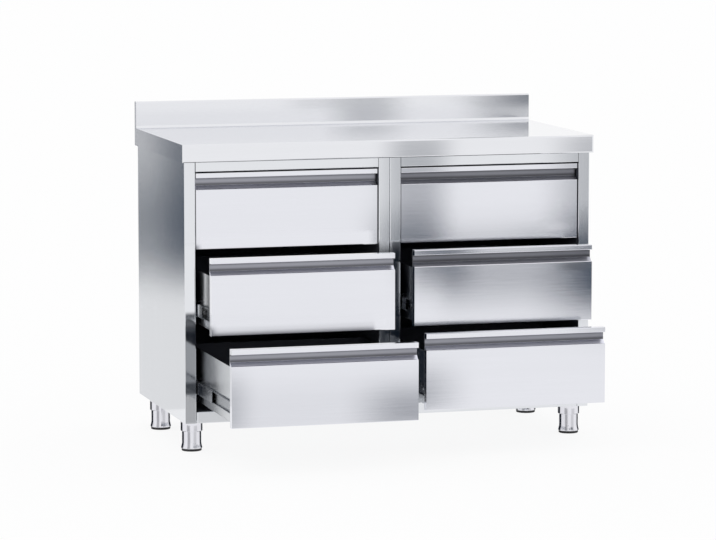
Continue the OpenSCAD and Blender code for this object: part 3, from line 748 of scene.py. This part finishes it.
def card_paper(name, colour):
    """Paper whose edges fade out, as each card's own colour says: it holds the fades and the share."""
    material, tree = new_material(name)
    place = add(tree, "ShaderNodeTexCoord").outputs["Object"]
    info = add(tree, "ShaderNodeObjectInfo")
    axes = add(tree, "ShaderNodeSeparateXYZ", {0: place}).outputs
    fades = add(tree, "ShaderNodeSeparateColor", {0: info.outputs["Color"]}).outputs
    cover = info.outputs["Alpha"]
    for axis, fade in zip(axes, fades[:2]):
        away = add(tree, "ShaderNodeMath", {0: axis}, operation="ABSOLUTE").outputs[0]
        full = add(tree, "ShaderNodeMath", {0: 1.0, 1: fade}, operation="SUBTRACT").outputs[0]
        edge = add(tree, "ShaderNodeMapRange", {"Value": away, "From Min": 1.0, "From Max": full},
                   interpolation_type="SMOOTHSTEP").outputs[0]
        cover = add(tree, "ShaderNodeMath", {0: cover, 1: edge}, operation="MULTIPLY").outputs[0]
    paper = add(tree, "ShaderNodeEmission", {"Color": shade(colour)})
    clear = add(tree, "ShaderNodeBsdfTransparent")
    finish_surface(tree, add(tree, "ShaderNodeMixShader",
                             {0: cover, 1: clear.outputs[0], 2: paper.outputs[0]}))
    material.cycles.emission_sampling = "NONE"
    return material


def hang_card(card, paper, fades, share):
    """Gives a card its paper and edges, and hides it from all but the metal."""
    card.data.materials.append(paper)
    card.color = (*fades, 0, share)
    for ray in ("camera", "diffuse", "transmission", "volume_scatter", "shadow"):
        setattr(card, f"visible_{ray}", False)


def hang_strip(name, origin, paper, start, end, heights, fades, share):
    """Hangs an upright strip between two points seen from above, which are given from an origin."""
    start, end = Vector((*start, heights[0])), Vector((*end, heights[0]))
    up = (heights[1] - heights[0]) / 2 * Z
    strip = plane(name, origin + (start + end) / 2 + up, (end - start) / 2, up)
    hang_card(strip, paper, fades, share)


def studio_cards(stage):
    """The cards and flags, which only the metal sees."""
    grey = card_paper("card_paper", stage.card)
    black = card_paper("flag_cloth", stage.flag)
    white = card_paper("white_paper", (1, 1, 1))
    for paper, places in ((grey, CARDS), (black, FLAGS), (white, WHITES)):
        for name, (centre, half, fades, share) in places.items():
            card = plane(name, Vector(centre), half[0] * X, half[1] * Z)
            hang_card(card, paper, fades, share)
    for key in LEGS:
        low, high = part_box(f"pad_{key}")
        middle = Vector((low.x + high.x, low.y + high.y, 0)) / 2
        for name, strip in LEG_FLAGS.items():
            hang_strip(f"flag_{name}_{key}", middle, black, *strip)
    hang_strip("flag_box", Vector(), black, *BOX_FLAG)


class CABINET_OT_stage(bpy.types.Operator):
    """Set up the floor, the white room, the cards and the camera"""

    bl_idname = "cabinet.stage"
    bl_label = "Stage"

    def execute(self, context):
        stage = context.scene.cabinet_stage
        context.scene.view_settings.view_transform = "Standard"
        studio_world()
        studio_floor(stage)
        studio_cards(stage)
        studio_camera(stage)
        return {"FINISHED"}


PIECES = ("worktop", "body", "fronts", "boxes", "runners", "legs", "screws", "stage")


class CABINET_PT_sidebar(bpy.types.Panel):
    """Lists the cabinet's pieces"""

    bl_idname = "CABINET_PT_sidebar"
    bl_label = "Worktop cabinet"
    bl_space_type = "VIEW_3D"
    bl_region_type = "UI"
    bl_category = "Cabinet"

    def draw(self, context):
        column = self.layout.column(align=True)
        for piece in PIECES:
            column.operator(f"cabinet.{piece}")
        for group in (context.scene.cabinet_look, context.scene.cabinet_stage):
            column = self.layout.column()
            for name in group.__annotations__:
                column.prop(group, name)


CLASSES = (CabinetLook, CabinetStage, CABINET_OT_worktop, CABINET_OT_body, CABINET_OT_fronts,
           CABINET_OT_boxes, CABINET_OT_runners, CABINET_OT_legs, CABINET_OT_screws,
           CABINET_OT_stage, CABINET_PT_sidebar)


def register():
    """Adds the classes and the scene's settings to Blender."""
    for each in CLASSES:
        bpy.utils.register_class(each)
    bpy.types.Scene.cabinet_look = bpy.props.PointerProperty(type=CabinetLook)
    bpy.types.Scene.cabinet_stage = bpy.props.PointerProperty(type=CabinetStage)


def unregister():
    """Takes them out again."""
    del bpy.types.Scene.cabinet_stage
    del bpy.types.Scene.cabinet_look
    for each in reversed(CLASSES):
        bpy.utils.unregister_class(each)


def main():
    """Makes every piece."""
    register()
    for piece in PIECES:
        getattr(bpy.ops.cabinet, piece)()


if __name__ == "__main__":
    main()
